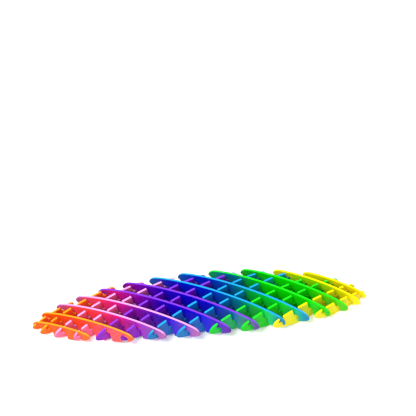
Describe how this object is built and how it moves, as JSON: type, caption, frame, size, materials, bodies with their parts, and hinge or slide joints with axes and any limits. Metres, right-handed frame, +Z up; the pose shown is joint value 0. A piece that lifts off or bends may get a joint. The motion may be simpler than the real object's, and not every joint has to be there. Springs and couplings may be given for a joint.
{
  "type": "lattice fidget worm",
  "caption": "Rainbow lattice fidget worm: thin upright plates slotted crosswise into a lens-shaped body that folds like a scissor fence.",
  "frame": {"origin": "middle of the flat base on which the worm rests", "axes": "+X along the worm from its orange end to its yellow end, +Z up, +Y across"},
  "size_m": [0.1814, 0.0398, 0.02],
  "materials": {
    "orange_plastic": "silky printed plastic, satin sheen",
    "pink_plastic": "silky printed plastic, satin sheen",
    "purple_plastic": "silky printed plastic, satin sheen",
    "blue_plastic": "silky printed plastic, satin sheen",
    "green_plastic": "silky printed plastic, satin sheen",
    "yellow_plastic": "silky printed plastic, satin sheen"
  },
  "bodies": {
    "plate_A01": {"plate_A01_orange": "orange_plastic"},
    "plate_A02": {"plate_A02_orange": "orange_plastic"},
    "plate_A03": {"plate_A03_pink": "pink_plastic"},
    "plate_A04": {"plate_A04_pink": "pink_plastic"},
    "plate_A05": {"plate_A05_purple": "purple_plastic"},
    "plate_A06": {"plate_A06_purple": "purple_plastic"},
    "plate_A07": {"plate_A07_blue": "blue_plastic"},
    "plate_A08": {"plate_A08_blue": "blue_plastic"},
    "plate_A09": {"plate_A09_green": "green_plastic"},
    "plate_A10": {"plate_A10_green": "green_plastic"},
    "plate_A11": {"plate_A11_yellow": "yellow_plastic"},
    "plate_A12": {"plate_A12_yellow": "yellow_plastic"},
    "plate_B01": {"plate_B01_orange": "orange_plastic"},
    "plate_B02": {"plate_B02_orange": "orange_plastic"},
    "plate_B03": {"plate_B03_pink": "pink_plastic"},
    "plate_B04": {"plate_B04_pink": "pink_plastic"},
    "plate_B05": {"plate_B05_purple": "purple_plastic"},
    "plate_B06": {"plate_B06_purple": "purple_plastic"},
    "plate_B07": {"plate_B07_blue": "blue_plastic"},
    "plate_B08": {"plate_B08_blue": "blue_plastic"},
    "plate_B09": {"plate_B09_green": "green_plastic"},
    "plate_B10": {"plate_B10_green": "green_plastic"},
    "plate_B11": {"plate_B11_yellow": "yellow_plastic"},
    "plate_B12": {"plate_B12_yellow": "yellow_plastic"}
  },
  "joints": [
    {"name": "lattice_fold", "type": "hinge", "parent": "plate_A06", "child": "plate_B07", "pos_m": [0, -0.00307, 0.00001], "axis": [0, 0, 1], "range_deg": [-10, 75]},
    {"name": "pivot_A06_B03", "type": "hinge", "parent": "plate_A06", "child": "plate_B03", "pos_m": [-0.03389, 0.01405, 0.00001], "axis": [0, 0, 1], "range_deg": [-10, 75]},
    {"name": "pivot_A06_B04", "type": "hinge", "parent": "plate_A06", "child": "plate_B04", "pos_m": [-0.02569, 0.00991, 0.00001], "axis": [0, 0, 1], "range_deg": [-10, 75]},
    {"name": "pivot_A06_B05", "type": "hinge", "parent": "plate_A06", "child": "plate_B05", "pos_m": [-0.01719, 0.00561, 0.00001], "axis": [0, 0, 1], "range_deg": [-10, 75]},
    {"name": "pivot_A06_B06", "type": "hinge", "parent": "plate_A06", "child": "plate_B06", "pos_m": [-0.0086, 0.00127, 0.00001], "axis": [0, 0, 1], "range_deg": [-10, 75]},
    {"name": "pivot_A06_B08", "type": "hinge", "parent": "plate_A06", "child": "plate_B08", "pos_m": [0.0086, -0.00741, 0.00001], "axis": [0, 0, 1], "range_deg": [-10, 75]},
    {"name": "pivot_A06_B09", "type": "hinge", "parent": "plate_A06", "child": "plate_B09", "pos_m": [0.01716, -0.01174, 0.00001], "axis": [0, 0, 1], "range_deg": [-10, 75]},
    {"name": "pivot_A06_B10", "type": "hinge", "parent": "plate_A06", "child": "plate_B10", "pos_m": [0.02555, -0.01598, 0.00001], "axis": [0, 0, 1], "range_deg": [-10, 75]},
    {"name": "pivot_B06_A05", "type": "hinge", "parent": "plate_B06", "child": "plate_A05", "pos_m": [-0.0172, -0.00307, 0.00001], "axis": [0, 0, 1], "range_deg": [-75, 10]},
    {"name": "pivot_B08_A07", "type": "hinge", "parent": "plate_B08", "child": "plate_A07", "pos_m": [0.0172, -0.00307, 0.00001], "axis": [0, 0, 1], "range_deg": [-75, 10]},
    {"name": "pivot_B08_A08", "type": "hinge", "parent": "plate_B08", "child": "plate_A08", "pos_m": [0.02579, 0.00127, 0.00001], "axis": [0, 0, 1], "range_deg": [-75, 10]},
    {"name": "pivot_B09_A09", "type": "hinge", "parent": "plate_B09", "child": "plate_A09", "pos_m": [0.04285, 0.00124, 0.00001], "axis": [0, 0, 1], "range_deg": [-75, 10]},
    {"name": "pivot_B09_A10", "type": "hinge", "parent": "plate_B09", "child": "plate_A10", "pos_m": [0.05105, 0.00538, 0.00001], "axis": [0, 0, 1], "range_deg": [-75, 10]},
    {"name": "pivot_B10_A11", "type": "hinge", "parent": "plate_B10", "child": "plate_A11", "pos_m": [0.06689, 0.0049, 0.00001], "axis": [0, 0, 1], "range_deg": [-75, 10]},
    {"name": "pivot_B10_A12", "type": "hinge", "parent": "plate_B10", "child": "plate_A12", "pos_m": [0.07283, 0.0079, 0.00001], "axis": [0, 0, 1], "range_deg": [-75, 10]},
    {"name": "pivot_B05_A04", "type": "hinge", "parent": "plate_B05", "child": "plate_A04", "pos_m": [-0.03435, -0.00306, 0.00001], "axis": [0, 0, 1], "range_deg": [-75, 10]},
    {"name": "pivot_B04_A03", "type": "hinge", "parent": "plate_B04", "child": "plate_A03", "pos_m": [-0.05124, -0.003, 0.00001], "axis": [0, 0, 1], "range_deg": [-75, 10]},
    {"name": "pivot_B04_A02", "type": "hinge", "parent": "plate_B04", "child": "plate_A02", "pos_m": [-0.05914, -0.00699, 0.00001], "axis": [0, 0, 1], "range_deg": [-75, 10]},
    {"name": "pivot_B03_A01", "type": "hinge", "parent": "plate_B03", "child": "plate_A01", "pos_m": [-0.07415, -0.00629, 0.00001], "axis": [0, 0, 1], "range_deg": [-75, 10]},
    {"name": "pivot_A03_B02", "type": "hinge", "parent": "plate_A03", "child": "plate_B02", "pos_m": [-0.06689, 0.0049, 0.00001], "axis": [0, 0, 1], "range_deg": [-10, 75]},
    {"name": "pivot_A02_B01", "type": "hinge", "parent": "plate_A02", "child": "plate_B01", "pos_m": [-0.08072, 0.00391, 0.00001], "axis": [0, 0, 1], "range_deg": [-10, 75]},
    {"name": "pivot_A10_B11", "type": "hinge", "parent": "plate_A10", "child": "plate_B11", "pos_m": [0.06734, -0.00285, 0.00001], "axis": [0, 0, 1], "range_deg": [-10, 75]},
    {"name": "pivot_A10_B12", "type": "hinge", "parent": "plate_A10", "child": "plate_B12", "pos_m": [0.07415, -0.00629, 0.00001], "axis": [0, 0, 1], "range_deg": [-10, 75]}
  ],
  "couplings": [
    {"joint": "pivot_A06_B03", "follows": "lattice_fold", "ratio": 1},
    {"joint": "pivot_A06_B04", "follows": "lattice_fold", "ratio": 1},
    {"joint": "pivot_A06_B05", "follows": "lattice_fold", "ratio": 1},
    {"joint": "pivot_A06_B06", "follows": "lattice_fold", "ratio": 1},
    {"joint": "pivot_A06_B08", "follows": "lattice_fold", "ratio": 1},
    {"joint": "pivot_A06_B09", "follows": "lattice_fold", "ratio": 1},
    {"joint": "pivot_A06_B10", "follows": "lattice_fold", "ratio": 1},
    {"joint": "pivot_B06_A05", "follows": "lattice_fold", "ratio": -1},
    {"joint": "pivot_B08_A07", "follows": "lattice_fold", "ratio": -1},
    {"joint": "pivot_B08_A08", "follows": "lattice_fold", "ratio": -1},
    {"joint": "pivot_B09_A09", "follows": "lattice_fold", "ratio": -1},
    {"joint": "pivot_B09_A10", "follows": "lattice_fold", "ratio": -1},
    {"joint": "pivot_B10_A11", "follows": "lattice_fold", "ratio": -1},
    {"joint": "pivot_B10_A12", "follows": "lattice_fold", "ratio": -1},
    {"joint": "pivot_B05_A04", "follows": "lattice_fold", "ratio": -1},
    {"joint": "pivot_B04_A03", "follows": "lattice_fold", "ratio": -1},
    {"joint": "pivot_B04_A02", "follows": "lattice_fold", "ratio": -1},
    {"joint": "pivot_B03_A01", "follows": "lattice_fold", "ratio": -1},
    {"joint": "pivot_A03_B02", "follows": "lattice_fold", "ratio": 1},
    {"joint": "pivot_A02_B01", "follows": "lattice_fold", "ratio": 1},
    {"joint": "pivot_A10_B11", "follows": "lattice_fold", "ratio": 1},
    {"joint": "pivot_A10_B12", "follows": "lattice_fold", "ratio": 1}
  ]
}
